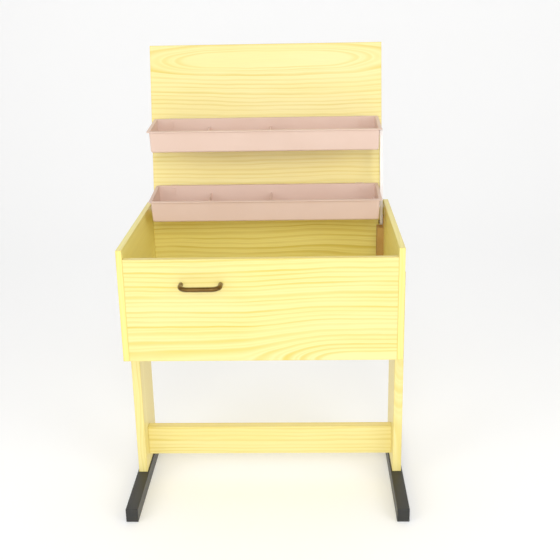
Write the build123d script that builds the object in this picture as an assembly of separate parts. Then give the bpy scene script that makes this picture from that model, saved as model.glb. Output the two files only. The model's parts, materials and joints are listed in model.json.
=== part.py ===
from build123d import *
import math
import os

# Sewing box on a stand: a lidded wooden box whose two trays swing up with the lid.
# Millimetres, +Z up, +X to the right, the front faces -Y. The lid is modelled standing open.

# Box
box_width = 460.0            # over the two side panels
box_depth = 306.0
box_top = 505.0              # top edge of the side panels above the floor
box_height = 192.0
board = 10.0                 # side, front and back panels
bottom_board = 6.0
bottom_rise = 8.0            # bottom panel above the lower edge of the box
groove_depth = 5.0
groove_play = 0.15
edge_round = 0.8

# Lid
lid_thickness = 15.0
lid_side_gap = 1.5
lid_rest_gap = 0.4           # closed lid above the front and back panels
lid_open_angle = 101.0       # from closed

# Stand
leg_thickness = 16.0
leg_width = 107.0
leg_front = 127.5            # behind the box front
leg_lap = 107.0              # up the side panel from its lower edge
foot_width = 22.0
foot_height = 26.0
foot_length = 300.0
foot_front = 6.5
foot_round = 1.5
stretcher_thickness = 16.0
stretcher_height = 57.0
stretcher_bottom = 46.5
stretcher_set_back = 30.5    # behind the front edges of the legs

# Handle
handle_centre_x = -96.0
handle_drop = 42.6           # below the top of the front panel
handle_hole_spacing = 64.0
handle_bar = 8.0
handle_reach = 28.0          # from the panel to the front of the bar
handle_bend = 14.0
handle_screw = 4.0
handle_screw_length = 22.0

# Lid hinges
hinge_spacing = 290.0
hinge_length = 50.0
hinge_leaf_height = 12.5
hinge_leaf = 1.2
hinge_knuckle = 5.0          # outside diameter
hinge_axis_back = 3.0        # hinge axis behind the back of the box
hinge_pin = 2.5
hinge_pin_play = 0.05        # on the radius
hinge_knuckle_gap = 0.3

# Trays
tray_end_gap = 9.5           # rim to side panel
tray_front_gap = 25.5        # rim to front panel, lid closed
tray_middle_gap = 25.5       # between the two rims
tray_back_gap = 35.0         # rim to back panel
tray_height = 40.0
tray_wall = 2.0
tray_rim = 4.0
tray_rim_thickness = 1.8
tray_draft = 1.5
tray_corner = 5.0
tray_base_round = 3.5
tray_tilt = 4.5              # front rim lower than the back rim
tray_pivot_standoff = 8.0    # pivot in front of the lid's inner face
tray_pivot_below_rim = 4.0
tray_pivot_behind_rim = 4.5
divider_places = (104.5, 219.5)  # from the left end of the rim
divider_height = 23.0
divider_thickness = 1.8
divider_flare = 11.0
rib_width = 3.0
rib_depth = 2.5

# Brackets that hang the trays on the lid
bracket_inset = 34.5         # bracket centre from the end of the tray's rim
bracket_width = 18.0
bracket_length = 26.0
bracket_tip = 1.4            # plate beyond the pivot, away from the lid hinge
bracket_sheet = 1.5
bracket_ear_radius = 3.2
lug_width = 11.0
lug_radius = 3.0
bracket_play = 0.5           # each side of the lug
bracket_pin = 3.0
bracket_pin_play = 0.05

# Control arm at the right end, which keeps the trays level
arm_offset_y = -26.0         # arm pivot from the lid hinge axis
arm_offset_z = -23.0
arm_to_side = 7.3            # inner face of the arm from the side panel
arm_depth = 4.8
arm_radius = 6.0
arm_sheet = 1.2
arm_screw = 5.0              # shoulder diameter
arm_screw_thread = 3.0
arm_open_play = 0.3          # on the radius, round the tray screws
arm_stud_play = 0.05
arm_head = 8.0
arm_head_thickness = 2.0
rail_sheet = 1.5
rail_width = 22.0            # front to back
rail_flange = 12.5           # out from the side panel
rail_above_floor = 5.0
rail_over_pivot = 12.0
rail_flange_below_pivot = 9.0

# Fasteners
wood_screw = 3.0
wood_screw_head = 5.6
leg_screw = 4.0
leg_screw_head = 8.0
foot_screw = 5.0
foot_screw_head = 10.0
dowel = 6.0
dowel_length = 26.0
dowel_in_side = 6.0
screw_play = 0.05

half_box = box_width / 2
inner_x = half_box - board
lid_underside = box_top - lid_thickness
panel_top = lid_underside - lid_rest_gap
box_bottom = box_top - box_height
panel_middle = (box_bottom + panel_top) / 2
leg_top = box_bottom + leg_lap
stretcher_front = leg_front + stretcher_set_back
handle_height = panel_top - handle_drop
hinge_y = box_depth + hinge_axis_back
hinge_z = lid_underside
tray_length = 2 * (inner_x - tray_end_gap)
tray_room = box_depth - 2 * board - tray_front_gap - tray_middle_gap - tray_back_gap
tray_width = tray_room / 2
tray_upper_reach = hinge_y - (board + tray_front_gap + tray_width + tray_pivot_behind_rim)
tray_lower_reach = hinge_y - (box_depth - board - tray_back_gap + tray_pivot_behind_rim)
bracket_x = tray_length / 2 - bracket_inset
arm_pivot = (hinge_y + arm_offset_y, hinge_z + arm_offset_z)
arm_inner_x = inner_x - arm_to_side
open_turn = Pos(0, hinge_y, hinge_z) * Rot(-lid_open_angle, 0, 0) * Pos(0, -hinge_y, -hinge_z)


def lid_point(along, out):
    """A point of the open lid: along from the hinge axis, out from the inner face."""
    lean = math.radians(lid_open_angle - 90)
    y = hinge_y + along * math.sin(lean) - out * math.cos(lean)
    z = hinge_z + along * math.cos(lean) + out * math.sin(lean)
    return y, z


lid_tip = lid_point(hinge_y, -lid_thickness)
origin_y = (lid_tip[0] - handle_reach) / 2

parts = {}


def add(name, shape):
    """Keep a finished piece, moved so that the origin is under the middle of the whole."""
    parts[name] = Pos(0, -origin_y, 0) * shape


def block(x0, x1, y0, y1, z0, z1):
    return Pos((x0 + x1) / 2, (y0 + y1) / 2, (z0 + z1) / 2) * Box(x1 - x0, y1 - y0, z1 - z0)


def panel(x0, x1, y0, y1, z0, z1):
    """A board with lightly rounded edges."""
    board_block = block(x0, x1, y0, y1, z0, z1)
    return fillet(board_block.edges(), edge_round)


def rod(start, end, radius):
    """A cylinder from one point to another."""
    span = Vector(*end) - Vector(*start)
    place = Plane(origin=start, z_dir=span)
    return place * Cylinder(radius, span.length, align=(Align.CENTER, Align.CENTER, Align.MIN))


def step(start, direction, distance):
    """The point at a distance from start along a unit direction."""
    return tuple(start[i] + direction[i] * distance for i in range(3))


def countersunk(head, direction, shank, head_size, length, play=0.0):
    """A countersunk screw with its flat head at a surface, or its hole where play is given."""
    rise = (head_size - shank) / 2
    place = Plane(origin=head, z_dir=direction)
    cone = Pos(0, 0, rise / 2) * Cone(head_size / 2 + play, shank / 2 + play, rise)
    if play:
        return place * cone + rod(head, step(head, direction, length + 1), shank / 2 + play)
    tip = Pos(0, 0, length - shank / 2) * Cone(shank / 2, 0.3, shank)
    body = cone + Pos(0, 0, (length - shank) / 2) * Cylinder(shank / 2, length - shank) + tip
    return place * (body - cross_recess(head_size * 0.52, rise * 0.8))


def cross_recess(span, depth):
    arm = span * 0.24
    return Box(span, arm, depth * 2) + Box(arm, span, depth * 2)


def screws_and_holes(places, direction, shank, head_size, length):
    """A group of equal screws and the holes that they need."""
    screws = [countersunk(p, direction, shank, head_size, length) for p in places]
    holes = [countersunk(p, direction, shank, head_size, length, screw_play) for p in places]
    return Compound(children=screws), holes


def cut(shape, tools):
    for tool in tools:
        shape = shape - tool
    return shape


def mirrored(places):
    """The same places on the left of the middle."""
    return [(-x, y, z) for x, y, z in places]


# Box boards
bottom_z = box_bottom + bottom_rise
groove_top = bottom_z + bottom_board + groove_play
groove = block(
    -inner_x - groove_depth, inner_x + groove_depth,
    board - groove_depth, box_depth - board + groove_depth,
    bottom_z - groove_play, groove_top,
)
bottom_panel = block(
    -inner_x - groove_depth + groove_play, inner_x + groove_depth - groove_play,
    board - groove_depth + groove_play, box_depth - board + groove_depth - groove_play,
    bottom_z, bottom_z + bottom_board,
)

dowel_margin = 28.0
dowel_rows = [box_bottom + dowel_margin, panel_middle, panel_top - dowel_margin]


def dowels(y, side):
    """The dowels that join one end of the front or back panel to a side panel."""
    pins = []
    for z in dowel_rows:
        outer = (side * (inner_x + dowel_in_side - 0.5), y, z)
        inner = (side * (inner_x + dowel_in_side - 0.5 - dowel_length), y, z)
        pins.append(rod(outer, inner, dowel / 2))
    return pins


def dowel_holes(y, side):
    holes = []
    for z in dowel_rows:
        outer = (side * (inner_x + dowel_in_side), y, z)
        inner = (side * (inner_x + dowel_in_side - dowel_length - 1), y, z)
        holes.append(rod(outer, inner, dowel / 2 + screw_play))
    return holes


front_y = board / 2
back_y = box_depth - board / 2
side_cuts = {side: dowel_holes(front_y, side) + dowel_holes(back_y, side) for side in (-1, 1)}
front_panel = panel(-inner_x, inner_x, 0, board, box_bottom, panel_top)
front_panel = cut(front_panel - groove, dowel_holes(front_y, -1) + dowel_holes(front_y, 1))
back_panel = panel(-inner_x, inner_x, box_depth - board, box_depth, box_bottom, panel_top)
back_panel = cut(back_panel - groove, dowel_holes(back_y, -1) + dowel_holes(back_y, 1))

# Legs, feet and stretcher
leg_inset = 20.0
leg_back = leg_front + leg_width
leg_screw_length = board + leg_thickness - 4
leg_screw_heights = (box_bottom + 35, leg_top - leg_inset)
leg_places = [
    (inner_x, y, z)
    for y in (leg_front + leg_inset, leg_back - leg_inset)
    for z in leg_screw_heights
]
foot_x = half_box + leg_thickness / 2
foot_screw_length = 45.0
foot_counterbore = 8.0
foot_screw_places = [(foot_x, y, foot_counterbore) for y in (leg_front + 25, leg_back - 25)]
stretcher_middle = stretcher_front + stretcher_thickness / 2
stretcher_screw_length = 50.0
stretcher_places = [
    (half_box + leg_thickness, stretcher_middle, stretcher_bottom + z)
    for z in (14.0, stretcher_height - 14.0)
]
stretcher = panel(
    -half_box, half_box, stretcher_front, stretcher_front + stretcher_thickness,
    stretcher_bottom, stretcher_bottom + stretcher_height,
)


def foot(side):
    """A sled foot with its two counterbores underneath."""
    x = side * foot_x
    runner = block(
        x - foot_width / 2, x + foot_width / 2, foot_front, foot_front + foot_length,
        0, foot_height,
    )
    runner = fillet(runner.edges(), foot_round)
    for head in foot_screw_places:
        runner = runner - rod((x, head[1], -1), (x, head[1], head[2]), foot_screw_head / 2 + 1)
    return runner


rail_front = arm_pivot[0] - rail_width / 2
rail_bottom = bottom_z + bottom_board + rail_above_floor
rail_top = arm_pivot[1] + rail_over_pivot
rail_flange_top = arm_pivot[1] - rail_flange_below_pivot
rail_screw_places = [
    (inner_x - rail_sheet, arm_pivot[0], z) for z in (rail_bottom + 12, rail_flange_top - 20)
]
rail_screw_length = rail_sheet + board - 1.5
rail_screws, rail_holes = screws_and_holes(
    rail_screw_places, (1, 0, 0), wood_screw, wood_screw_head, rail_screw_length
)
side_cuts[1] += rail_holes

for name, side in (("left", -1), ("right", 1)):
    outward = (side, 0, 0)
    places = leg_places if side > 0 else mirrored(leg_places)
    leg_screws, leg_holes = screws_and_holes(
        places, outward, leg_screw, leg_screw_head, leg_screw_length
    )
    x = side * half_box
    near, far = sorted((x, x - side * board))
    side_panel = panel(near, far, 0, box_depth, box_bottom, box_top)
    side_panel = cut(side_panel - groove, side_cuts[side] + leg_holes)
    add(f"side_panel_{name}", side_panel)
    add(f"leg_screws_{name}", leg_screws)

    places = stretcher_places if side > 0 else mirrored(stretcher_places)
    stretcher_screws, stretcher_holes = screws_and_holes(
        places, (-side, 0, 0), leg_screw, leg_screw_head, stretcher_screw_length
    )
    places = foot_screw_places if side > 0 else mirrored(foot_screw_places)
    foot_screws, foot_holes = screws_and_holes(
        places, (0, 0, 1), foot_screw, foot_screw_head, foot_screw_length
    )
    near, far = sorted((x, x + side * leg_thickness))
    leg = panel(near, far, leg_front, leg_back, foot_height, leg_top)
    add(f"leg_{name}", cut(leg, leg_holes + stretcher_holes + foot_holes))
    add(f"foot_{name}", cut(foot(side), foot_holes))
    stretcher = cut(stretcher, stretcher_holes)
    add(f"stretcher_screws_{name}", stretcher_screws)
    add(f"foot_screws_{name}", foot_screws)

add("stretcher", stretcher)
add("bottom_panel", bottom_panel)
add("front_dowels", Compound(children=dowels(front_y, -1) + dowels(front_y, 1)))
add("back_dowels", Compound(children=dowels(back_y, -1) + dowels(back_y, 1)))
add("rail_screws", rail_screws)

# Handle: a round bar bowed out of the front panel on two straight ends
handle_half = handle_hole_spacing / 2
bar_y = -handle_reach + handle_bar / 2
handle_path = FilletPolyline(
    (handle_centre_x - handle_half, 0, handle_height),
    (handle_centre_x - handle_half, bar_y, handle_height),
    (handle_centre_x + handle_half, bar_y, handle_height),
    (handle_centre_x + handle_half, 0, handle_height),
    radius=handle_bend,
)
bar_end = Plane(origin=handle_path @ 0, z_dir=handle_path % 0)
handle = sweep(bar_end * Circle(handle_bar / 2), path=handle_path)
handle_screws = []
thread_r = handle_screw / 2
head_top = board + 2.4
for x in (handle_centre_x - handle_half, handle_centre_x + handle_half):
    inside = (x, board, handle_height)
    thread_end = (x, board - handle_screw_length, handle_height)
    hole_end = (x, board - handle_screw_length - 0.5, handle_height)
    handle = handle - rod((x, 1, handle_height), hole_end, thread_r + screw_play)
    panel_hole = rod((x, board + 1, handle_height), (x, -1, handle_height), thread_r + 0.25)
    front_panel = front_panel - panel_hole
    shank = rod(inside, thread_end, thread_r)
    head = rod(inside, (x, head_top, handle_height), handle_screw * 0.95)
    head = fillet(head.edges().group_by(Axis.Y)[-1], 1.2)
    recess_place = Plane(origin=(x, head_top, handle_height), z_dir=(0, 1, 0))
    handle_screws.append(head + shank - recess_place * cross_recess(4.0, 1.2))
add("handle", handle)
add("handle_screws", Compound(children=handle_screws))
add("front_panel", front_panel)

# Lid, modelled closed and then turned open about the hinge axis
lid_half = inner_x - lid_side_gap
lid = panel(-lid_half, lid_half, 0, box_depth, lid_underside, box_top)

# Butt hinges: leaves on the back of the box and on the back edge of the lid
knuckle_r = hinge_knuckle / 2
pin_r = hinge_pin / 2
third = hinge_length / 3
box_hinge_screws = []
lid_hinge_screws = []
leaf_screw_spacing = 17.0
leaf_screw_length = 9.0
lid_leaf_screw_length = 15.0
gap = hinge_knuckle_gap


def knuckle(x, radius):
    """A third of the hinge's length along its axis."""
    return rod((x, hinge_y, hinge_z), (x + third, hinge_y, hinge_z), radius)


def along_axis(x0, x1, radius):
    return rod((x0, hinge_y, hinge_z), (x1, hinge_y, hinge_z), radius)


def leaf_screw_places(centre, z):
    xs = (centre - leaf_screw_spacing, centre, centre + leaf_screw_spacing)
    return [(x, box_depth + hinge_leaf, z) for x in xs]


for name, centre in (("left", -hinge_spacing / 2), ("right", hinge_spacing / 2)):
    x0 = centre - hinge_length / 2
    x1 = x0 + hinge_length
    bore = along_axis(x0 - 1, x1 + 1, pin_r + hinge_pin_play)
    middle_space = block(
        x0 + third - gap, x0 + 2 * third + gap, hinge_y - knuckle_r - 1, hinge_y + knuckle_r + 1,
        hinge_z - knuckle_r - gap, hinge_z + knuckle_r + 1,
    )
    leaf_low = hinge_z - knuckle_r - 0.5 - hinge_leaf_height
    box_leaf = block(x0, x1, box_depth, box_depth + hinge_leaf, leaf_low, hinge_z - 0.3)
    box_leaf = box_leaf + knuckle(x0, knuckle_r) + knuckle(x0 + 2 * third, knuckle_r)
    box_leaf = box_leaf - middle_space - bore
    places = leaf_screw_places(centre, leaf_low + 4.6)
    screws, holes = screws_and_holes(
        places, (0, -1, 0), wood_screw, wood_screw_head, leaf_screw_length
    )
    box_leaf = cut(box_leaf, holes)
    back_panel = cut(back_panel, holes)
    box_hinge_screws += list(screws.children)
    add(f"hinge_{name}_box_leaf", box_leaf)

    leaf_high = hinge_z + knuckle_r + hinge_leaf_height - 1.0
    lid_leaf = block(x0, x1, box_depth, box_depth + hinge_leaf, hinge_z + 0.3, leaf_high)
    end_space = block(
        x0 - 1, x0 + third + gap, hinge_y - knuckle_r - 2, hinge_y + knuckle_r + 1,
        hinge_z - knuckle_r - 1, hinge_z + knuckle_r + gap,
    )
    lid_leaf = lid_leaf + knuckle(x0 + third, knuckle_r)
    lid_leaf = lid_leaf - end_space - Pos(2 * third - gap + 1, 0, 0) * end_space - bore
    places = leaf_screw_places(centre, leaf_high - 4.4)
    screws, holes = screws_and_holes(
        places, (0, -1, 0), wood_screw, wood_screw_head, lid_leaf_screw_length
    )
    lid_leaf = cut(lid_leaf, holes)
    lid = cut(lid, holes)
    lid_hinge_screws += [open_turn * s for s in screws.children]
    add(f"hinge_{name}_lid_leaf", open_turn * lid_leaf)

    pin = along_axis(x0 - 1.2, x1 + 0.2, pin_r) + along_axis(x0 - 1.2, x0 - 0.2, pin_r + 0.8)
    add(f"hinge_{name}_pin", pin)
add("hinge_screws_box", Compound(children=box_hinge_screws))
add("hinge_screws_lid", Compound(children=lid_hinge_screws))
add("back_panel", back_panel)


# Trays: one moulding with a turned-out rim, two low dividers, two lugs behind and an end boss
pin_hole_r = bracket_pin / 2 + bracket_pin_play
boss_r = 4.0


def tray(pivot, right_boss):
    """A tray hung at its pivot, with the rim tilted down to the front."""
    half = tray_length / 2
    rim_back = -tray_pivot_behind_rim
    middle = rim_back - tray_width / 2
    rim_z = tray_pivot_below_rim
    outer_x = tray_length - 2 * tray_rim
    outer_y = tray_width - 2 * tray_rim
    top = Plane(origin=(0, middle, rim_z))
    outer = top * RectangleRounded(outer_x, outer_y, tray_corner)
    shell = extrude(outer, amount=-tray_height, taper=tray_draft)
    shell = fillet(shell.edges().group_by(Axis.Z)[0], tray_base_round)
    inner_x_size = outer_x - 2 * tray_wall
    inner_y_size = outer_y - 2 * tray_wall
    inner = top * RectangleRounded(inner_x_size, inner_y_size, tray_corner - tray_wall)
    hollow = extrude(inner, amount=-(tray_height - tray_wall), taper=tray_draft)
    hollow = fillet(hollow.edges().group_by(Axis.Z)[0], tray_base_round - tray_wall)
    rim_outline = top * RectangleRounded(tray_length, tray_width, tray_corner)
    rim = extrude(rim_outline, amount=-tray_rim_thickness)
    rim = fillet(rim.edges().filter_by(GeomType.LINE), 0.6)
    body = shell + rim - hollow
    floor_z = rim_z - tray_height + tray_wall
    wall_y = rim_back - tray_rim
    for place in divider_places:
        body = body + (divider(place - half, middle, floor_z) & shell)
    rib_front = wall_y - tray_wall - rib_depth
    rib_half = rib_width / 2
    for x in (-bracket_x, bracket_x):
        rib = block(x - rib_half, x + rib_half, rib_front, wall_y - 0.5, rim_z - 16, rim_z - 4)
        body = body + rib
        lug = rod((x - lug_width / 2, 0, 0), (x + lug_width / 2, 0, 0), lug_radius)
        web = block(
            x - lug_width / 2, x + lug_width / 2, wall_y - 1, 0, -lug_radius, lug_radius - 0.5
        )
        bore = rod((x - lug_width, 0, 0), (x + lug_width, 0, 0), pin_hole_r)
        body = body + lug + web - bore
    body = Pos(0, *pivot) * Rot(tray_tilt, 0, 0) * body
    boss_y = pivot[0] + arm_offset_y
    boss_z = pivot[1] + arm_offset_z
    wall_x = half - tray_rim - tray_wall - 1.2
    boss = rod((wall_x, boss_y, boss_z), (right_boss, boss_y, boss_z), boss_r)
    pad = rod((wall_x - 4, boss_y, boss_z), (wall_x, boss_y, boss_z), boss_r + 0.5)
    thread_hole = rod(
        (wall_x - 6, boss_y, boss_z), (right_boss + 1, boss_y, boss_z),
        arm_screw_thread / 2 + screw_play,
    )
    return body + boss + pad - thread_hole


def divider(x, middle, floor_z):
    """A low wall across the tray that flares out to the floor on both sides."""
    half = divider_thickness / 2
    foot_half = half + divider_flare
    low = floor_z - tray_wall / 2
    bend = divider_flare * (1 - math.sin(math.pi / 4))
    flare_z = floor_z + divider_flare
    top_z = floor_z + divider_height
    profile = [
        Polyline((-foot_half, floor_z), (-foot_half, low), (foot_half, low), (foot_half, floor_z)),
        ThreePointArc((foot_half, floor_z), (half + bend, floor_z + bend), (half, flare_z)),
        Polyline((half, flare_z), (half, top_z), (-half, top_z), (-half, flare_z)),
        ThreePointArc((-half, flare_z), (-half - bend, floor_z + bend), (-foot_half, floor_z)),
    ]
    face = Plane.XZ * make_face(profile)
    wall = extrude(face, amount=tray_width / 2, both=True)
    return Pos(x, middle, 0) * wall


def bracket(reach, x):
    """A folded steel bracket on the closed lid, with two ears for the tray's pin."""
    y = hinge_y - reach
    pin_z = lid_underside - tray_pivot_standoff
    plate = block(
        x - bracket_width / 2, x + bracket_width / 2, y - bracket_tip, y - bracket_tip + bracket_length,
        lid_underside - bracket_sheet, lid_underside,
    )
    plate = fillet(plate.edges().filter_by(Axis.Z), 2.5)
    ear_x = lug_width / 2 + bracket_play
    for side in (-1, 1):
        a = x + side * ear_x
        b = a + side * bracket_sheet
        low, high = min(a, b), max(a, b)
        plate = plate + rod((low, y, pin_z), (high, y, pin_z), bracket_ear_radius)
        plate = plate + block(
            low, high, y - bracket_tip, y + bracket_ear_radius,
            pin_z, lid_underside - bracket_sheet / 2,
        )
    return plate - rod((x - 12, y, pin_z), (x + 12, y, pin_z), pin_hole_r)


def bracket_pin_at(pivot, x):
    """A headed pin through the bracket's ears and the tray's lug."""
    reach = lug_width / 2 + bracket_play + bracket_sheet
    pin = rod((x - reach - 0.2, *pivot), (x + reach + 0.9, *pivot), bracket_pin / 2)
    return pin + rod((x + reach + 0.1, *pivot), (x + reach + 1.0, *pivot), bracket_pin / 2 + 1.0)


arm_outer_x = arm_inner_x + arm_depth
arm_web_x = arm_inner_x + arm_sheet
bracket_screws = []
arm_points = [arm_pivot]
screw_arm_end = arm_inner_x - 0.5
head_x = arm_web_x + 0.4
head_end_x = head_x + arm_head_thickness
for name, reach in (("lower", tray_lower_reach), ("upper", tray_upper_reach)):
    pivot = lid_point(reach, tray_pivot_standoff)
    add(f"tray_{name}", tray(pivot, screw_arm_end))
    for side, x in (("left", -bracket_x), ("right", bracket_x)):
        plate = bracket(reach, x)
        heads = [
            (x, hinge_y - reach - bracket_tip + dy, lid_underside - bracket_sheet)
            for dy in (bracket_length / 2 - 5, bracket_length - 5)
        ]
        screws, holes = screws_and_holes(heads, (0, 0, 1), wood_screw, wood_screw_head, 11.0)
        plate = cut(plate, holes)
        lid = cut(lid, holes)
        bracket_screws += [open_turn * s for s in screws.children]
        add(f"tray_{name}_bracket_{side}", open_turn * plate)
    pins = [bracket_pin_at(pivot, x) for x in (-bracket_x, bracket_x)]
    add(f"tray_{name}_pins", Compound(children=pins))

    end_y = pivot[0] + arm_offset_y
    end_z = pivot[1] + arm_offset_z
    arm_points.append((end_y, end_z))
    shoulder = rod((screw_arm_end, end_y, end_z), (head_x, end_y, end_z), arm_screw / 2)
    head = rod((head_x, end_y, end_z), (head_end_x, end_y, end_z), arm_head / 2)
    head = fillet(head.edges().group_by(Axis.X)[-1], 0.7)
    slot = Pos(head_end_x, end_y, end_z) * Box(1.6, 1.2, arm_head + 1)
    thread = rod(
        (screw_arm_end - 7, end_y, end_z), (screw_arm_end, end_y, end_z), arm_screw_thread / 2
    )
    add(f"tray_{name}_arm_screw", shoulder + head + thread - slot)
add("bracket_screws", Compound(children=bracket_screws))
add("lid", open_turn * lid)


def arm_outline(radius, x0, x1):
    """The cranked arm as round-ended bars through its three pivots."""
    shape = None
    for (y0, z0), (y1, z1) in zip(arm_points, arm_points[1:]):
        length = math.hypot(y1 - y0, z1 - z0)
        turn = math.degrees(math.atan2(z1 - z0, y1 - y0))
        middle = Pos((x0 + x1) / 2, (y0 + y1) / 2, (z0 + z1) / 2)
        bar = middle * Rot(turn, 0, 0) * Box(x1 - x0, length, 2 * radius)
        bar = bar + rod((x0, y0, z0), (x1, y0, z0), radius)
        bar = bar + rod((x0, y1, z1), (x1, y1, z1), radius)
        shape = bar if shape is None else shape + bar
    return shape


screw_r = arm_screw / 2
arm = arm_outline(arm_radius, arm_inner_x, arm_outer_x)
arm = arm - arm_outline(arm_radius - arm_sheet, arm_web_x, arm_outer_x + 1)
for y, z in arm_points[1:]:
    arm = arm - rod((arm_inner_x - 1, y, z), (arm_web_x + 1, y, z), screw_r + arm_open_play)
stud_hole = rod(
    (arm_inner_x - 1, *arm_pivot), (arm_web_x + 1, *arm_pivot), screw_r + arm_stud_play
)
add("control_arm", arm - stud_hole)

# Rail on the right side panel that carries the arm's pivot
rail_x = inner_x - rail_sheet
rail_back = rail_front + rail_width
rail = block(rail_x, inner_x, rail_front, rail_back, rail_bottom, rail_top)
flange_x = inner_x - rail_flange
for y in (rail_front, rail_back - rail_sheet):
    rail = rail + block(flange_x, inner_x, y, y + rail_sheet, rail_bottom, rail_flange_top)
stud_bore = rod((rail_x - 1, *arm_pivot), (inner_x + 1, *arm_pivot), screw_r + screw_play)
add("arm_rail", cut(rail - stud_bore, rail_holes))
stud = rod((arm_inner_x - 0.5, *arm_pivot), (inner_x - 0.1, *arm_pivot), screw_r)
stud_head = rod((arm_inner_x - 2.3, *arm_pivot), (arm_inner_x - 0.3, *arm_pivot), arm_head / 2)
stud_head = fillet(stud_head.edges().group_by(Axis.X)[0], 0.7)
collar = rod((arm_web_x + 0.3, *arm_pivot), (rail_x, *arm_pivot), screw_r + 1.2)
add("arm_pivot_stud", stud + stud_head + collar)

os.makedirs("parts", exist_ok=True)
for name, shape in parts.items():
    shape.label = name
    export_step(shape, f"parts/{name}.step")
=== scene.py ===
import json
import math
import bmesh
import bpy
from mathutils import Matrix, Vector


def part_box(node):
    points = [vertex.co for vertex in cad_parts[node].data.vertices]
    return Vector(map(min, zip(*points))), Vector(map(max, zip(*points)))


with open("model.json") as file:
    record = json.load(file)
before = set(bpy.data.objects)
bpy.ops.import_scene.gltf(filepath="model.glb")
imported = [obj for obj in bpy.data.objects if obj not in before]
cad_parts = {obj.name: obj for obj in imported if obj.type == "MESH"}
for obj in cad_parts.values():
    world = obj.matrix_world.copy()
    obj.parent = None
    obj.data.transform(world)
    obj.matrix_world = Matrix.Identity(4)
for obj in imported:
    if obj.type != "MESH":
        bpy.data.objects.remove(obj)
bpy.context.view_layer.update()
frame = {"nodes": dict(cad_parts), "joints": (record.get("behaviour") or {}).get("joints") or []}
nodes = frame["nodes"]
joints = {joint["name"]: joint for joint in frame["joints"]}
scene = bpy.context.scene
scene.view_settings.view_transform = "Standard"
scene.view_settings.gamma = 1.3  # a bright picture with open shadows
print("frame loaded:", len(nodes), "pieces")

# camera in front, a little to the right and looking down, with its angles in radians
view = {
    "place": (0.0740, -1.4919, 0.9269),
    "yaw": 0.0316,
    "pitch": -0.2999,
    "roll": -0.0200,
    "lens": 56.31,
    "sensor": 36.0,
    "shiftY": -0.0714,
}


def makeCamera(v):
    data = bpy.data.cameras.new("camera")
    data.lens = v["lens"]
    data.sensor_width = v["sensor"]
    data.shift_y = v["shiftY"]
    yaw, pitch, roll = v["yaw"], v["pitch"], v["roll"]
    level = Vector((math.cos(yaw), math.sin(yaw), 0))
    ahead = Vector((-math.sin(yaw), math.cos(yaw), 0))
    forward = ahead * math.cos(pitch) + Vector((0, 0, math.sin(pitch)))
    up = level.cross(forward)
    right = level * math.cos(roll) + up * math.sin(roll)
    top = up * math.cos(roll) - level * math.sin(roll)
    turn = Matrix((right, top, -forward)).transposed().to_4x4()
    camera = bpy.data.objects.new("camera", data)
    camera.matrix_world = Matrix.Translation(v["place"]) @ turn
    scene.collection.objects.link(camera)
    scene.camera = camera


makeCamera(view)


# small helpers for node trees; a socket takes a link or a plain value
def feed(tree, socket, value):
    if isinstance(value, bpy.types.NodeSocket):
        tree.links.new(value, socket)
    else:
        socket.default_value = value


def put(tree, kind, inputs, **props):
    node = tree.nodes.new(kind)
    for key, value in props.items():
        setattr(node, key, value)
    for key, value in inputs.items():
        feed(tree, node.inputs[key], value)
    return node


def calc(tree, operation, a, b=0.0, c=0.0):
    return put(tree, "ShaderNodeMath", {0: a, 1: b, 2: c}, operation=operation).outputs[0]


def smooth(tree, value, low, high, start=0.0, end=1.0):
    inputs = {"Value": value, "From Min": low, "From Max": high, "To Min": start, "To Max": end}
    return put(tree, "ShaderNodeMapRange", inputs, interpolation_type="SMOOTHSTEP").outputs[0]


def noise(tree, vector, scale, detail, roughness=0.5):
    inputs = {"Vector": vector, "Scale": scale, "Detail": detail, "Roughness": roughness}
    return put(tree, "ShaderNodeTexNoise", inputs).outputs["Fac"]


def noiseAlong(tree, place, scale, detail):
    inputs = {"W": place, "Scale": scale, "Detail": detail}
    return put(tree, "ShaderNodeTexNoise", inputs, noise_dimensions="1D").outputs["Fac"]


def blendColor(tree, factor, a, b, mode="MIX"):
    a, b = ((*item, 1) if isinstance(item, tuple) else item for item in (a, b))
    inputs = {0: factor, 6: a, 7: b}
    return put(tree, "ShaderNodeMix", inputs, data_type="RGBA", blend_type=mode).outputs[2]


def grey(tree, value):
    return put(tree, "ShaderNodeCombineColor", {0: value, 1: value, 2: value}).outputs[0]


def addBump(tree, shader, height, strength, distance):
    inputs = {"Height": height, "Strength": strength, "Distance": distance}
    bump = put(tree, "ShaderNodeBump", inputs)
    tree.links.new(bump.outputs[0], shader.inputs["Normal"])


def newGroup(name, inputs, outputs):
    tree = bpy.data.node_groups.new(name, "ShaderNodeTree")
    for way, sockets in (("INPUT", inputs), ("OUTPUT", outputs)):
        for label, kind in sockets.items():
            tree.interface.new_socket(label, in_out=way, socket_type="NodeSocket" + kind)
    source = tree.nodes.new("NodeGroupInput").outputs
    target = tree.nodes.new("NodeGroupOutput").inputs
    return tree, source, target


def useGroup(tree, group, inputs):
    return put(tree, "ShaderNodeGroup", inputs, node_tree=group).outputs


def newMaterial(name):
    material = bpy.data.materials.new(name)
    material.use_nodes = True
    tree = material.node_tree
    shader = tree.nodes["Principled BSDF"]
    coords = tree.nodes.new("ShaderNodeTexCoord")
    return material, tree, shader, coords


mmPerMetre = 1000.0
# an end face is known by its facing, and the painted shade along a board's edges wanders by a
# wobble in millimetres
edges = {"endFacing": 0.7, "wobbleScale": 0.12, "wobbleDetail": 3.0, "wobble": 1.2}


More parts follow.
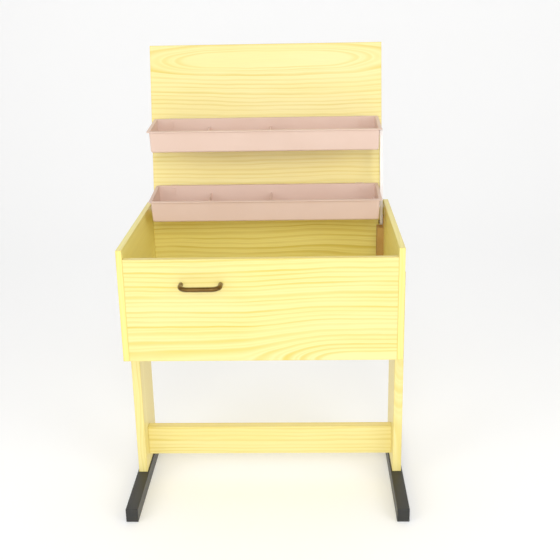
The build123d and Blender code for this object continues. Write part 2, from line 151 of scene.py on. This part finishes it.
# places on a board in millimetres, along and across its grain, turned on end faces, and its edges
def makeBoardPlaces(e):
    tree, source, target = newGroup(
        "boardPlaces",
        {"Point": "Vector", "Normal": "Vector", "Origin": "Vector", "Along Axis": "Vector",
         "Across Axis": "Vector", "Thick Axis": "Vector", "Size": "Vector", "Edge Width": "Float"},
        {"Along": "Float", "Across": "Float", "Edge": "Float"},
    )

    def vectorMath(operation, inputs):
        return put(tree, "ShaderNodeVectorMath", inputs, operation=operation).outputs

    def along(axis, vector):
        return vectorMath("DOT_PRODUCT", {0: vector, 1: source[axis]})["Value"]

    offset = vectorMath("SUBTRACT", {0: source["Point"], 1: source["Origin"]})[0]
    point = vectorMath("SCALE", {0: offset, 3: mmPerMetre})[0]
    length, width, depth = (along(name + " Axis", point) for name in ("Along", "Across", "Thick"))
    facing = calc(tree, "ABSOLUTE", along("Along Axis", source["Normal"]))
    end = calc(tree, "GREATER_THAN", facing, e["endFacing"])
    both = calc(tree, "ADD", width, depth)
    for name, onFace, onEnd in (("Along", length, width), ("Across", both, depth)):
        mix = put(tree, "ShaderNodeMix", {0: end, 2: onFace, 3: onEnd}, data_type="FLOAT")
        tree.links.new(mix.outputs[0], target[name])

    # a point near two of the board's six faces is at an edge
    size = put(tree, "ShaderNodeSeparateXYZ", {0: source["Size"]}).outputs
    inset = [
        calc(tree, "MINIMUM", place, calc(tree, "SUBTRACT", size[i], place))
        for i, place in enumerate((length, width, depth))
    ]
    nearer = calc(tree, "MINIMUM", inset[0], inset[1])
    further = calc(tree, "MAXIMUM", inset[0], inset[1])
    middle = calc(tree, "MAXIMUM", nearer, calc(tree, "MINIMUM", further, inset[2]))
    wobble = noise(tree, point, e["wobbleScale"], e["wobbleDetail"])
    centred = calc(tree, "ADD", middle, -e["wobble"] / 2)
    ragged = calc(tree, "MULTIPLY_ADD", wobble, e["wobble"], centred)
    tree.links.new(smooth(tree, ragged, 0.0, source["Edge Width"], 1.0, 0.0), target["Edge"])
    return tree


# change per millimetre along and across the grain, detail, and a shift of the seed
waves = {
    "broad": (0.0045, 0.012, 1.0, 0.0),
    "ripple": (0.016, 0.05, 1.0, 7.0),
    "fade": (0.007, 0.03, 1.0, 3.0),
    "fibre": (0.02, 1.3, 3.0, 11.0),
    "tone": (0.003, 0.02, 2.0, 5.0),
}
# early and late ranges are counted in rings, and weight and fade ranges are noise values
rings = {
    "ripple": 3.4,
    "closing": 0.012,  # how slowly the rings close past the heart
    "unevenScale": 0.37, "uneven": 1.5,
    "lateRise": (0.18, 0.74), "lateFall": (0.78, 1.0),
    "earlyShift": 0.35, "earlyRise": (0.25, 0.6), "earlyFall": (0.65, 1.0), "early": 0.42,
    "earlyFrom": (1.0, 1.3),
    "weightStep": 0.73, "weightRange": (0.25, 0.75), "leastWeight": 0.55,
    "fadeRange": (0.3, 0.7), "leastFade": 0.62,
}


# pine figure: rings round a slanting heart, with fibres between them
def makePineFigure(r):
    tree, source, target = newGroup(
        "pineFigure",
        {label: "Float" for label in ("Along", "Across", "Heart Along", "Heart Across", "Reach",
                                      "Rise", "Core", "Spacing", "Wave", "Seed")},
        {"Ring": "Float", "Fibre": "Float", "Tone": "Float"},
    )
    length, width, seed = source["Along"], source["Across"], source["Seed"]

    def wave(name):
        along, across, detail, shift = waves[name]
        x = calc(tree, "MULTIPLY", length, along)
        y = calc(tree, "MULTIPLY", width, across)
        z = calc(tree, "ADD", seed, shift)
        vector = put(tree, "ShaderNodeCombineXYZ", {0: x, 1: y, 2: z}).outputs[0]
        return noise(tree, vector, 1.0, detail)

    def centred(name):
        return calc(tree, "SUBTRACT", wave(name), 0.5)

    # distance from the heart, bent by the waves
    broad = calc(tree, "MULTIPLY", centred("broad"), source["Wave"])
    ripple = calc(tree, "MULTIPLY", centred("ripple"), r["ripple"])
    bend = calc(tree, "ADD", calc(tree, "MULTIPLY", broad, 2.0), ripple)
    across = calc(tree, "SUBTRACT", calc(tree, "ADD", width, bend), source["Heart Across"])
    away = calc(tree, "ABSOLUTE", calc(tree, "SUBTRACT", length, source["Heart Along"]))
    lift = calc(tree, "MULTIPLY", smooth(tree, away, 0.0, source["Reach"]), source["Rise"])
    lift = calc(tree, "MULTIPLY_ADD", away, r["closing"], lift)
    squares = calc(tree, "ADD", calc(tree, "POWER", across, 2.0), calc(tree, "POWER", lift, 2.0))
    distance = calc(tree, "SUBTRACT", calc(tree, "SQRT", squares), source["Core"])
    count = calc(tree, "DIVIDE", calc(tree, "MAXIMUM", distance, 0.0), source["Spacing"])

    # rings of uneven width, which settle outside the core
    uneven = noiseAlong(tree, calc(tree, "ADD", count, seed), r["unevenScale"], 1.0)
    settled = calc(tree, "MINIMUM", count, 1.0)
    shift = calc(tree, "MULTIPLY", calc(tree, "MULTIPLY", uneven, r["uneven"]), settled)
    count = calc(tree, "ADD", count, shift)

    # a strong late line in each ring, and a faint early one
    part = calc(tree, "FRACT", count)
    rise = smooth(tree, part, *r["lateRise"])
    fall = smooth(tree, part, *r["lateFall"], 1.0, 0.0)
    late = calc(tree, "MULTIPLY", rise, fall)
    half = calc(tree, "FRACT", calc(tree, "MULTIPLY_ADD", count, 2.0, r["earlyShift"]))
    rise = smooth(tree, half, *r["earlyRise"])
    fall = smooth(tree, half, *r["earlyFall"], r["early"], 0.0)
    early = calc(tree, "MULTIPLY", rise, fall)
    early = calc(tree, "MULTIPLY", early, smooth(tree, count, *r["earlyFrom"]))
    line = calc(tree, "MAXIMUM", late, early)

    # each ring has its own weight, and every line fades in places
    step = calc(tree, "MULTIPLY", calc(tree, "FLOOR", count), r["weightStep"])
    weight = noiseAlong(tree, calc(tree, "ADD", step, seed), 1.0, 0.0)
    strength = smooth(tree, weight, *r["weightRange"], r["leastWeight"], 1.0)
    fade = smooth(tree, wave("fade"), *r["fadeRange"], r["leastFade"], 1.0)
    line = calc(tree, "MULTIPLY", calc(tree, "MULTIPLY", line, strength), fade)
    tree.links.new(line, target["Ring"])
    tree.links.new(wave("fibre"), target["Fibre"])
    tree.links.new(wave("tone"), target["Tone"])
    return tree


scuffs = {"scale": 9.0, "detail": 6.0, "roughness": 0.7, "range": (0.60, 0.72)}


# fine surface unevenness that the other finishes share, as masks and as a height
def makeSurfaceGrain(s):
    tree, source, target = newGroup(
        "surfaceGrain",
        {"Point": "Vector", "Fine": "Float", "Broad": "Float"},
        {"Mottle": "Float", "Speck": "Float", "Scuff": "Float"},
    )
    tree.links.new(noise(tree, source["Point"], source["Broad"], 3.0), target["Mottle"])
    tree.links.new(noise(tree, source["Point"], source["Fine"], 2.0), target["Speck"])
    scale = calc(tree, "MULTIPLY", source["Broad"], s["scale"])
    rough = noise(tree, source["Point"], scale, s["detail"], s["roughness"])
    tree.links.new(smooth(tree, rough, *s["range"]), target["Scuff"])
    return tree


boardPlaces = makeBoardPlaces(edges)
pineFigure = makePineFigure(rings)
surfaceGrain = makeSurfaceGrain(scuffs)
print("shared effects made")

hinge, lowerPivot, upperPivot = (
    Vector(joints[name]["pos_m"]) for name in ("lid_hinge", "tray_lower_pivot", "tray_upper_pivot")
)
pivotLine = upperPivot - lowerPivot
lidUp = Vector((0, pivotLine.y, pivotLine.z)).normalized()
lidOut = Vector((0, -lidUp.z, lidUp.y))
eastWest = Vector((1, 0, 0))
frontBack = Vector((0, 1, 0))
upright = Vector((0, 0, 1))
lidBoard = {"thickness": 0.015, "hingeGap": 0.003}  # in metres

# axes run along, across and through the grain, shadeCopy picks the plain pine colours or their
# deeper yellow copy, which is painted shade for the boards seen inside the box, the heart is along
# and across from the board's low corner, and lengths are in millimetres
boards = {
    "lid": {
        "axes": (eastWest, lidUp, lidOut), "shadeCopy": "front", "contrast": 1.0, "seed": 3.1,
        "heart": (221, 291), "reach": 425, "rise": 40, "core": 13, "spacing": 8.0, "wave": 6,
    },
    "front_panel": {
        "axes": (eastWest, upright, frontBack), "shadeCopy": "front", "contrast": 1.0, "seed": 8.4,
        "heart": (420, 0), "reach": 240, "rise": 38, "core": 14.5, "spacing": 8.2, "wave": 5,
    },
    "back_panel": {
        "axes": (eastWest, upright, frontBack), "shadeCopy": "paintedInnerShade", "contrast": 1.0, "seed": 1.7,
        "heart": (150, 60), "reach": 420, "rise": 30, "core": 8, "spacing": 9.0, "wave": 10,
    },
    "bottom_panel": {
        "axes": (eastWest, frontBack, upright), "shadeCopy": "paintedInnerShade", "contrast": 0.62, "seed": 5.2,
        "heart": (90, 150), "reach": 500, "rise": 40, "core": 9, "spacing": 7, "wave": 9,
    },
    "stretcher": {
        "axes": (eastWest, upright, frontBack), "shadeCopy": "front", "contrast": 0.8, "seed": 6.6,
        "heart": (230, 90), "reach": 600, "rise": 30, "core": 6, "spacing": 8.0, "wave": 4,
    },
    "side_panel_left": {
        "axes": (frontBack, upright, eastWest), "shadeCopy": "paintedInnerShade", "contrast": 0.62, "seed": 2.3,
        "heart": (60, 70), "reach": 330, "rise": 40, "core": 9, "spacing": 6, "wave": 8,
    },
    "side_panel_right": {
        "axes": (frontBack, upright, eastWest), "shadeCopy": "paintedInnerShade", "contrast": 0.62, "seed": 9.9,
        "heart": (250, 120), "reach": 330, "rise": 36, "core": 9, "spacing": 6, "wave": 8,
    },
    "leg_left": {
        "axes": (upright, frontBack, eastWest), "shadeCopy": "front", "contrast": 0.62, "seed": 4.4,
        "heart": (120, 40), "reach": 420, "rise": 34, "core": 9, "spacing": 6, "wave": 12,
    },
    "leg_right": {
        "axes": (upright, frontBack, eastWest), "shadeCopy": "front", "contrast": 0.62, "seed": 7.7,
        "heart": (330, 12), "reach": 260, "rise": 40, "core": 9, "spacing": 7, "wave": 12,
    },
}


# a board's low corner in metres, and its size along, across and through the grain in millimetres
def placeBoard(name, along, across, thick):
    low, high = (Vector(corner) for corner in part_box(name))
    span = high - low
    if name != "lid":
        return low, [span.dot(axis) * mmPerMetre for axis in (along, across, thick)]
    thickness = lidBoard["thickness"]  # the lid leans, so its height comes from its slope
    height = (span.z - thickness * abs(thick.z)) / across.z
    start = hinge + across * lidBoard["hingeGap"] - thick * thickness
    return Vector((low.x, start.y, start.z)), [v * mmPerMetre for v in (span.x, height, thickness)]


pine = {
    # the second copy of pale and warm is deeper and more saturated: painted shade for the boards
    # seen inside the box
    "pale": {"front": (0.858, 0.722, 0.252), "paintedInnerShade": (0.925, 0.800, 0.200)},
    "warm": {"front": (0.828, 0.660, 0.155), "paintedInnerShade": (0.900, 0.745, 0.125)},
    "line": (0.680, 0.495, 0.038),
    # edge: a darker yellow painted as shade along every board edge
    "edge": (0.640, 0.480, 0.070),
    "toneRange": (0.35, 0.7), "toneShare": 0.45,
    "fibreRange": (0.35, 0.65), "fibreShade": (0.965, 1.02),
    "edgeWidth": 1.7, "edgeShadeShare": 0.65,
    "roughness": 0.42, "ringGloss": -0.06, "edgeGloss": 0.12, "fibreGloss": 0.08,
    "coat": 0.12, "coatRoughness": 0.3,
    "ringHeight": 0.5, "bump": 0.08, "bumpHeight": 0.0004,
}


def makePine(name, board, p):
    material, tree, shader, coords = newMaterial("pine_" + name)
    origin, size = placeBoard(name, *board["axes"])
    along, across, thick = board["axes"]
    places = useGroup(tree, boardPlaces, {
        "Point": coords.outputs["Object"], "Normal": coords.outputs["Normal"], "Origin": origin,
        "Along Axis": along, "Across Axis": across, "Thick Axis": thick,
        "Size": size, "Edge Width": p["edgeWidth"],
    })
    figure = useGroup(tree, pineFigure, {
        "Along": places["Along"], "Across": places["Across"],
        "Heart Along": board["heart"][0], "Heart Across": board["heart"][1],
        "Reach": board["reach"], "Rise": board["rise"], "Core": board["core"],
        "Spacing": board["spacing"], "Wave": board["wave"], "Seed": board["seed"],
    })
    tone = calc(tree, "MULTIPLY", smooth(tree, figure["Tone"], *p["toneRange"]), p["toneShare"])
    # boards seen inside the box take the painted-shade copy of the ground colours
    ground = blendColor(tree, tone, p["pale"][board["shadeCopy"]], p["warm"][board["shadeCopy"]])
    ring = calc(tree, "MULTIPLY", figure["Ring"], board["contrast"])
    ringed = blendColor(tree, ring, ground, p["line"])
    fibre = smooth(tree, figure["Fibre"], *p["fibreRange"], *p["fibreShade"])
    color = blendColor(tree, 1.0, ringed, grey(tree, fibre), "MULTIPLY")
    # a darker band painted as shade along every edge of the board
    wearAndEdgeShade = calc(tree, "MULTIPLY", places["Edge"], p["edgeShadeShare"])
    tree.links.new(blendColor(tree, wearAndEdgeShade, color, p["edge"]), shader.inputs["Base Color"])
    gloss = calc(tree, "MULTIPLY_ADD", figure["Ring"], p["ringGloss"], p["roughness"])
    gloss = calc(tree, "MULTIPLY_ADD", places["Edge"], p["edgeGloss"], gloss)
    gloss = calc(tree, "MULTIPLY_ADD", figure["Fibre"], p["fibreGloss"], gloss)
    tree.links.new(gloss, shader.inputs["Roughness"])
    shader.inputs["Coat Weight"].default_value = p["coat"]
    shader.inputs["Coat Roughness"].default_value = p["coatRoughness"]
    height = calc(tree, "MULTIPLY_ADD", figure["Ring"], p["ringHeight"], figure["Fibre"])
    addBump(tree, shader, height, p["bump"], p["bumpHeight"])
    return material


mottleRange = (0.35, 0.7)
trayPlastic = {
    "body": (0.700, 0.485, 0.385), "cloud": (0.645, 0.430, 0.330), "scuffed": (0.760, 0.580, 0.490),
    "fine": 1400.0, "broad": 14.0, "cloudShare": 0.5, "scuffShare": 0.25,
    "roughness": 0.40, "speckGloss": 0.12, "scuffGloss": 0.1,
    "bump": 0.25, "bumpHeight": 0.0002,
}


def makeTrayPlastic(p):
    material, tree, shader, coords = newMaterial("trayPlastic")
    grain = useGroup(tree, surfaceGrain, {
        "Point": coords.outputs["Object"], "Fine": p["fine"], "Broad": p["broad"],
    })
    cloud = smooth(tree, grain["Mottle"], *mottleRange, 0.0, p["cloudShare"])
    clouded = blendColor(tree, cloud, p["body"], p["cloud"])
    scuff = calc(tree, "MULTIPLY", grain["Scuff"], p["scuffShare"])
    tree.links.new(blendColor(tree, scuff, clouded, p["scuffed"]), shader.inputs["Base Color"])
    gloss = calc(tree, "MULTIPLY_ADD", grain["Speck"], p["speckGloss"], p["roughness"])
    gloss = calc(tree, "MULTIPLY_ADD", grain["Scuff"], p["scuffGloss"], gloss)
    tree.links.new(gloss, shader.inputs["Roughness"])
    addBump(tree, shader, grain["Speck"], p["bump"], p["bumpHeight"])
    return material


coatings = {
    "runnerLacquer": {
        "body": (0.009, 0.009, 0.008), "cloud": (0.015, 0.015, 0.013), "wearAndEdgeShade": (0.06, 0.056, 0.045),
        "fine": 700.0, "broad": 18.0, "wear": 0.3, "spread": 0.12, "roughness": 0.48,
        "metallic": 0.0, "coat": 0.0, "bump": 0.2, "specular": 0.25,
    },
    "bronzePlate": {
        "body": (0.085, 0.038, 0.004), "cloud": (0.110, 0.052, 0.007), "wearAndEdgeShade": (0.26, 0.16, 0.05),
        "fine": 900.0, "broad": 60.0, "wear": 0.25, "spread": 0.1, "roughness": 0.34,
        "metallic": 1.0, "coat": 0.15, "bump": 0.08, "specular": 0.5,
    },
    "zincPlate": {
        "body": (0.70, 0.69, 0.66), "cloud": (0.60, 0.60, 0.58), "wearAndEdgeShade": (0.82, 0.81, 0.78),
        "fine": 2200.0, "broad": 90.0, "wear": 0.4, "spread": 0.16, "roughness": 0.32,
        "metallic": 1.0, "coat": 0.0, "bump": 0.12, "specular": 0.5,
    },
    "armSteel": {
        "body": (0.78, 0.74, 0.70), "cloud": (0.70, 0.65, 0.62), "wearAndEdgeShade": (0.85, 0.82, 0.78),
        "fine": 1600.0, "broad": 40.0, "wear": 0.3, "spread": 0.14, "roughness": 0.38,
        "metallic": 0.35, "coat": 0.2, "bump": 0.1, "specular": 0.5,
    },
    "railPaint": {
        "body": (0.500, 0.270, 0.060), "cloud": (0.430, 0.215, 0.045), "wearAndEdgeShade": (0.62, 0.42, 0.18),
        "fine": 1100.0, "broad": 30.0, "wear": 0.3, "spread": 0.1, "roughness": 0.36,
        "metallic": 0.0, "coat": 0.3, "bump": 0.15, "specular": 0.5,
    },
    "beechEnd": {
        "body": (0.62, 0.42, 0.22), "cloud": (0.55, 0.36, 0.18), "wearAndEdgeShade": (0.66, 0.47, 0.27),
        "fine": 1300.0, "broad": 70.0, "wear": 0.4, "spread": 0.1, "roughness": 0.6,
        "metallic": 0.0, "coat": 0.0, "bump": 0.3, "specular": 0.5,
    },
}
coatSurface = {"coatRoughness": 0.12, "scuffGloss": 0.12, "bumpHeight": 0.0002}


def makeCoated(name, p):
    material, tree, shader, coords = newMaterial(name)
    grain = useGroup(tree, surfaceGrain, {
        "Point": coords.outputs["Object"], "Fine": p["fine"], "Broad": p["broad"],
    })
    base = blendColor(tree, smooth(tree, grain["Mottle"], *mottleRange), p["body"], p["cloud"])
    wear = calc(tree, "MULTIPLY", grain["Scuff"], p["wear"])
    tree.links.new(blendColor(tree, wear, base, p["wearAndEdgeShade"]), shader.inputs["Base Color"])
    smoothest = p["roughness"] - p["spread"] / 2
    gloss = calc(tree, "MULTIPLY_ADD", grain["Mottle"], p["spread"], smoothest)
    gloss = calc(tree, "MULTIPLY_ADD", grain["Scuff"], coatSurface["scuffGloss"], gloss)
    tree.links.new(gloss, shader.inputs["Roughness"])
    shader.inputs["Metallic"].default_value = p["metallic"]
    shader.inputs["Coat Weight"].default_value = p["coat"]
    shader.inputs["Coat Roughness"].default_value = coatSurface["coatRoughness"]
    shader.inputs["Specular IOR Level"].default_value = p["specular"]
    addBump(tree, shader, grain["Speck"], p["bump"], coatSurface["bumpHeight"])
    return material


# pieces that are neither a board nor listed here are zinc plated
fittingFinish = {
    "front_dowels": "beechEnd", "back_dowels": "beechEnd",
    "arm_rail": "railPaint", "control_arm": "armSteel",
    "handle": "bronzePlate", "arm_pivot_stud": "bronzePlate",
    "tray_lower_arm_screw": "bronzePlate", "tray_upper_arm_screw": "bronzePlate",
    "foot_left": "runnerLacquer", "foot_right": "runnerLacquer",
    "tray_lower": "trayPlastic", "tray_upper": "trayPlastic",
}
boardFinish = {name: makePine(name, board, pine) for name, board in boards.items()}
finishes = {name: makeCoated(name, values) for name, values in coatings.items()}
finishes["trayPlastic"] = makeTrayPlastic(trayPlastic)
for name, piece in nodes.items():
    piece.data.materials.clear()
    if name in boardFinish:
        piece.data.materials.append(boardFinish[name])
    else:
        piece.data.materials.append(finishes[fittingFinish.get(name, "zincPlate")])
print("finishes laid on")


# floor that sweeps up into a backdrop, and soft light
studio = {
    "width": 9.0, "front": -4.0, "back": 2.6, "bend": 1.2, "bendSteps": 16, "height": 4.2,
    "floor": (0.96, 0.96, 0.96), "backdrop": (0.90, 0.90, 0.90), "blendHeight": 2.5,
    "floorGlow": 0.10, "backdropGlow": 0.12, "roughness": 0.9,
    "world": 0.51,
}


def makeSweep(s):
    shape = bmesh.new()
    half, bendStart = s["width"] / 2, s["back"] - s["bend"]
    edge = shape.edges.new([shape.verts.new((x, s["front"], 0.0)) for x in (-half, half)])

    def lastEdge(found, level):
        made = [item for item in found["geom"] if isinstance(item, bmesh.types.BMEdge)]
        return next(item for item in made if all(corner in level for corner in item.verts))

    def pull(start, move):
        found = bmesh.ops.extrude_edge_only(shape, edges=[start])
        corners = [item for item in found["geom"] if isinstance(item, bmesh.types.BMVert)]
        bmesh.ops.translate(shape, verts=corners, vec=move)
        return lastEdge(found, corners)

    edge = pull(edge, (0, bendStart - s["front"], 0))
    bent = bmesh.ops.spin(
        shape, geom=[edge, *edge.verts], cent=(0, bendStart, s["bend"]), axis=(1, 0, 0),
        angle=math.pi / 2, steps=s["bendSteps"],
    )["geom_last"]
    edge = next(item for item in bent if isinstance(item, bmesh.types.BMEdge))
    pull(edge, (0, 0, s["height"] - s["bend"]))
    for face in shape.faces:
        face.smooth = True
    mesh = bpy.data.meshes.new("studioFloor")
    shape.to_mesh(mesh)
    shape.free()
    sweep = bpy.data.objects.new("studioFloor", mesh)
    scene.collection.objects.link(sweep)

    material, tree, shader, coords = newMaterial("studioPaper")
    height = put(tree, "ShaderNodeSeparateXYZ", {0: coords.outputs["Object"]}).outputs[2]
    rise = smooth(tree, height, 0.0, s["blendHeight"])
    tree.links.new(blendColor(tree, rise, s["floor"], s["backdrop"]), shader.inputs["Base Color"])
    glow = smooth(tree, height, 0.0, s["blendHeight"], s["floorGlow"], s["backdropGlow"])
    tree.links.new(grey(tree, glow), shader.inputs["Emission Color"])
    shader.inputs["Emission Strength"].default_value = 1.0
    shader.inputs["Roughness"].default_value = s["roughness"]
    mesh.materials.append(material)


def makeWorld(strength):
    world = bpy.data.worlds.new("studioWorld")
    world.use_nodes = True
    background = world.node_tree.nodes["Background"]
    background.inputs["Color"].default_value = (1.0, 1.0, 1.0, 1)
    background.inputs["Strength"].default_value = strength
    scene.world = world


lamps = {
    "keySoftbox": {"place": (-0.2, -3.2, 0.85), "aim": (0.0, 0.0, 0.5), "size": 1.8, "power": 16.0},
    "rightWing": {"place": (1.9, -1.7, 1.35), "aim": (0.0, 0.0, 0.45), "size": 1.5, "power": 17.0},
    "leftWing": {"place": (-1.9, -1.7, 1.35), "aim": (0.0, 0.0, 0.45), "size": 1.5, "power": 15.0},
    "highFill": {"place": (0.1, -2.5, 1.75), "aim": (0.0, 0.0, 0.45), "size": 1.0, "power": 20.0},
    "backWash": {"place": (0.0, 0.9, 3.2), "aim": (0.0, 1.8, 0.6), "size": 2.6, "power": 8.0},
}


def makeLamp(name, lamp):
    data = bpy.data.lights.new(name, "AREA")
    data.shape = "DISK"
    data.size = lamp["size"]
    data.energy = lamp["power"]
    light = bpy.data.objects.new(name, data)
    light.visible_camera = False
    aim = Vector(lamp["aim"]) - Vector(lamp["place"])
    turn = aim.to_track_quat("-Z", "Y").to_matrix().to_4x4()
    light.matrix_world = Matrix.Translation(lamp["place"]) @ turn
    scene.collection.objects.link(light)


makeSweep(studio)
makeWorld(studio["world"])
for name, lamp in lamps.items():
    makeLamp(name, lamp)
print("studio lit")
